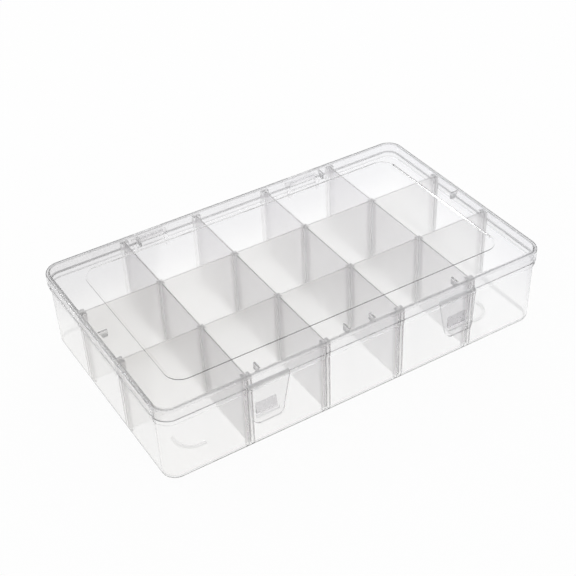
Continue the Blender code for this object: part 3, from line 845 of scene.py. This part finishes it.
def lip_flare(z):
    """How far the lip has curved outwards at one height."""
    share = max(0, (TAB_FOOT_Z + LIP_HEIGHT - z) / LIP_HEIGHT)
    return LIP_FLARE * share ** 2


def rounded_corner(before, corner, after, radius):
    """The arc that rounds one corner of an outline."""
    corner = Vector(corner)
    before = (Vector(before) - corner).normalized()
    after = (Vector(after) - corner).normalized()
    half_angle = before.angle(after) / 2
    centre = corner + (before + after).normalized() * radius / math.sin(half_angle)
    start = corner + before * radius / math.tan(half_angle) - centre
    end = corner + after * radius / math.tan(half_angle) - centre
    first = math.degrees(math.atan2(start.y, start.x))
    sweep = math.degrees(start.angle_signed(end))
    return arc(centre, radius, first, first - sweep, CORNER_STEPS)


def latch_tab(name, side):
    """A tab: its side profile drawn out along the edge, then trimmed to its front outline."""
    bead = arc((TAB_AXIS_Y, TAB_AXIS_Z), TAB_THICKNESS / 2, *BEAD_ROUND, ARC_STEPS)
    flare_z = TAB_FOOT_Z + LIP_HEIGHT
    heights = [flare_z - LIP_HEIGHT * step / LIP_STEPS for step in range(LIP_STEPS + 1)]
    front = [(TAB_INNER_Y - TAB_THICKNESS - lip_flare(z), z) for z in heights]
    back = [(TAB_INNER_Y - lip_flare(z), z) for z in reversed(heights)]
    middle = side * (TAB_OUTER_TOP + TAB_INNER_TOP) / 2
    width = TAB_OUTER_TOP - TAB_INNER_TOP + OVERRUN
    tab = slice_of(name, bead + front + back, width, ALONG_X, middle, WALL)
    top = TAB_AXIS_Z + TAB_THICKNESS
    corners = [
        (side * TAB_INNER_TOP, top),
        (side * TAB_INNER_FOOT, TAB_FOOT_Z),
        (side * TAB_OUTER_FOOT, TAB_FOOT_Z),
        (side * TAB_OUTER_TOP, top),
    ]
    outline = [corners[0]]
    for before, corner, after in zip(corners, corners[1:], corners[2:]):
        outline += rounded_corner(before, corner, after, TAB_CORNER)
    outline.append(corners[3])
    depth = 2 * (LIP_FLARE + TAB_THICKNESS + OVERRUN)
    trim = slice_of("tab_trim", outline, depth, ALONG_Y, -TAB_AXIS_Y, EDGE)
    tip_y = TAB_INNER_Y + HOOK_DEPTH
    root_z = HOOK_TOP_Z - HOOK_HEIGHT - HOOK_DEPTH
    hook_outline = [
        (TAB_AXIS_Y, flare_z),
        (tip_y, HOOK_TOP_Z),
        (tip_y, HOOK_TOP_Z - HOOK_HEIGHT),
        (TAB_AXIS_Y - lip_flare(root_z), root_z),
    ]
    hook = slice_of("hook", hook_outline, HOOK_WIDTH, ALONG_X, side * CATCH_X, THICK)
    return worked(tab, [("INTERSECT", trim), ("UNION", hook)])


TAB_SPAN = (0.022, 0.05)
tab_wall = clear_plastic(
    "tab_wall",
    top_tint=(0.95, 0.95, 0.955),
    foot_tint=(0.97, 0.97, 0.975),
    span=TAB_SPAN,
    roughness=0.12,
)
tab_thick = clear_plastic(
    "tab_thick",
    top_tint=(0.94, 0.94, 0.95),
    foot_tint=(0.94, 0.94, 0.95),
    span=TAB_SPAN,
    roughness=0.4,
)
# Painted shade: the cut sides of each tab's outline are tinted a little darker for the lines along
# its edges.
tab_edge_shade = clear_plastic(
    "tab_edge_shade",
    top_tint=(0.9, 0.9, 0.91),
    foot_tint=(0.9, 0.9, 0.91),
    span=TAB_SPAN,
    roughness=0.4,
)
for side_name, side in (("left", -1), ("right", 1)):
    tab = latch_tab("latch_tab_" + side_name, side)
    smooth(tab)
    dress(tab, [tab_wall, tab_thick, tab_edge_shade])
    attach(tab, "latch_" + side_name)
    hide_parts("latch_" + side_name)

# The setting: a studio floor that is white to the camera and, for rays that pass through or
# reflect, white in a painted pool of light round the box and grey beyond it; soft light from all
# round, two soft lamps behind the box, and the camera at the photograph's angle. None of it belongs
# to the box.
CAMERA_PLACE = Vector((-0.321119, -0.541663, 0.519002))
CAMERA_YAW = math.radians(30.366)
CAMERA_PITCH = math.radians(37.598)
CAMERA_ROLL = math.radians(-2.496)
CAMERA_SENSOR = 36
FOCAL_PIXELS = 1229.271
PHOTO_PIXELS = 576
CAMERA_CLIP = 0.01
FLOOR_SIZE = 8
FLOOR_SHADOW = 0.045
PAPER_COLOUR = (0.95, 0.95, 0.95)
PAPER_ROUGHNESS = 0.9
PAPER_WHITE = (1, 1, 1)
PAPER_GREY_BEYOND_POOL = (0.89, 0.89, 0.9)
PAINTED_LIGHT_POOL = (0.005, 0.05)
SKY_HIGH = 0.6
SKY_LOW = 1.0
SOFTBOX_PLACE = (0.6, 0.75, 0.9)
SOFTBOX_WIDTH = 0.75
SOFTBOX_POWER = 1.5
STRIP_PLACE = (-0.46, 0.77, 0.79)
STRIP_WIDTH = 0.13
STRIP_POWER = 0.7
CLEAR_BOUNCES = 40
GLOSSY_BOUNCES = 16

ahead = Vector((
    math.sin(CAMERA_YAW) * math.cos(CAMERA_PITCH),
    math.cos(CAMERA_YAW) * math.cos(CAMERA_PITCH),
    -math.sin(CAMERA_PITCH),
))
level = Vector((math.cos(CAMERA_YAW), -math.sin(CAMERA_YAW), 0))
upright = level.cross(ahead)
right = math.cos(CAMERA_ROLL) * level + math.sin(CAMERA_ROLL) * upright
up = math.cos(CAMERA_ROLL) * upright - math.sin(CAMERA_ROLL) * level
lens = bpy.data.cameras.new("photo_camera")
lens.sensor_width = CAMERA_SENSOR
lens.lens = CAMERA_SENSOR * FOCAL_PIXELS / PHOTO_PIXELS
lens.clip_start = CAMERA_CLIP
camera = bpy.data.objects.new("photo_camera", lens)
turn = Matrix((right, up, -ahead)).transposed().to_4x4()
camera.matrix_world = Matrix.Translation(CAMERA_PLACE) @ turn
bpy.context.scene.collection.objects.link(camera)
bpy.context.scene.camera = camera

ground = bmesh.new()
bmesh.ops.create_grid(ground, x_segments=1, y_segments=1, size=FLOOR_SIZE / 2)
floor = shape("studio_floor", ground)
paper = Finish("studio_paper")
path = paper.node("ShaderNodeLightPath")
direct = Value(paper, path.outputs["Is Camera Ray"])
seen = direct.larger(path.outputs["Is Glossy Ray"]).larger(path.outputs["Is Transmission Ray"])
white = paper.node("ShaderNodeEmission", None, {"Color": (*PAPER_WHITE, 1), "Strength": 1.0})
grey = paper.node("ShaderNodeEmission", None, {"Color": (*PAPER_GREY_BEYOND_POOL, 1), "Strength": 1.0})
spot = paper.node("ShaderNodeTexCoord").outputs["Object"]
spans = paper.node("ShaderNodeVectorMath", {"operation": "ABSOLUTE"}, {0: spot}).outputs[0]
spans = paper.node(
    "ShaderNodeVectorMath", {"operation": "SUBTRACT"}, {0: spans, 1: (lid_high.x, LID_HALF.y, 0)}
).outputs[0]
sides = paper.node("ShaderNodeSeparateXYZ", None, {0: spans}).outputs
reach = Value(paper, sides["X"]).larger(sides["Y"])
# Painted pool of light: reflected and passing rays see white paper within it and grey paper beyond.
beyond_light_pool = paper.value(
    "ShaderNodeMapRange",
    {"interpolation_type": "SMOOTHSTEP"},
    {"Value": reach, "From Min": PAINTED_LIGHT_POOL[0], "From Max": PAINTED_LIGHT_POOL[1]},
)
painted_pool = paper.node(
    "ShaderNodeMixShader",
    None,
    {0: beyond_light_pool * (1 - direct), 1: white.outputs[0], 2: grey.outputs[0]},
)
paper.fill(paper.shader, {"Base Color": (*PAPER_COLOUR, 1), "Roughness": PAPER_ROUGHNESS})
blend = paper.node(
    "ShaderNodeMixShader",
    None,
    {0: seen * (1 - FLOOR_SHADOW), 1: paper.shader.outputs[0], 2: painted_pool.outputs[0]},
)
paper.tree.links.new(blend.outputs[0], paper.tree.nodes["Material Output"].inputs[0])
dress(floor, [paper.material])

sky = bpy.data.worlds.new("studio")
sky.use_nodes = True
bpy.context.scene.world = sky
sky_nodes = sky.node_tree.nodes
background = sky_nodes["Background"]
direction = sky_nodes.new("ShaderNodeTexCoord")
split = sky_nodes.new("ShaderNodeSeparateXYZ")
fade = sky_nodes.new("ShaderNodeMapRange")
fade.inputs["To Min"].default_value = SKY_LOW
fade.inputs["To Max"].default_value = SKY_HIGH
links = sky.node_tree.links
links.new(direction.outputs["Generated"], split.inputs[0])
links.new(split.outputs["Z"], fade.inputs["Value"])
links.new(fade.outputs[0], background.inputs["Strength"])
background.inputs["Color"].default_value = (1, 1, 1, 1)

for name, place, width, power in (
    ("softbox", SOFTBOX_PLACE, SOFTBOX_WIDTH, SOFTBOX_POWER),
    ("strip_light", STRIP_PLACE, STRIP_WIDTH, STRIP_POWER),
):
    soft = bpy.data.lights.new(name, "AREA")
    soft.size = width
    soft.energy = power
    lamp = bpy.data.objects.new(name, soft)
    lamp.location = place
    lamp.rotation_euler = (-lamp.location).to_track_quat("-Z", "Y").to_euler()
    bpy.context.scene.collection.objects.link(lamp)

bpy.context.scene.view_settings.view_transform = "Standard"
bpy.context.scene.cycles.max_bounces = CLEAR_BOUNCES
bpy.context.scene.cycles.transmission_bounces = CLEAR_BOUNCES
bpy.context.scene.cycles.glossy_bounces = GLOSSY_BOUNCES
bpy.context.scene.cycles.transparent_max_bounces = CLEAR_BOUNCES
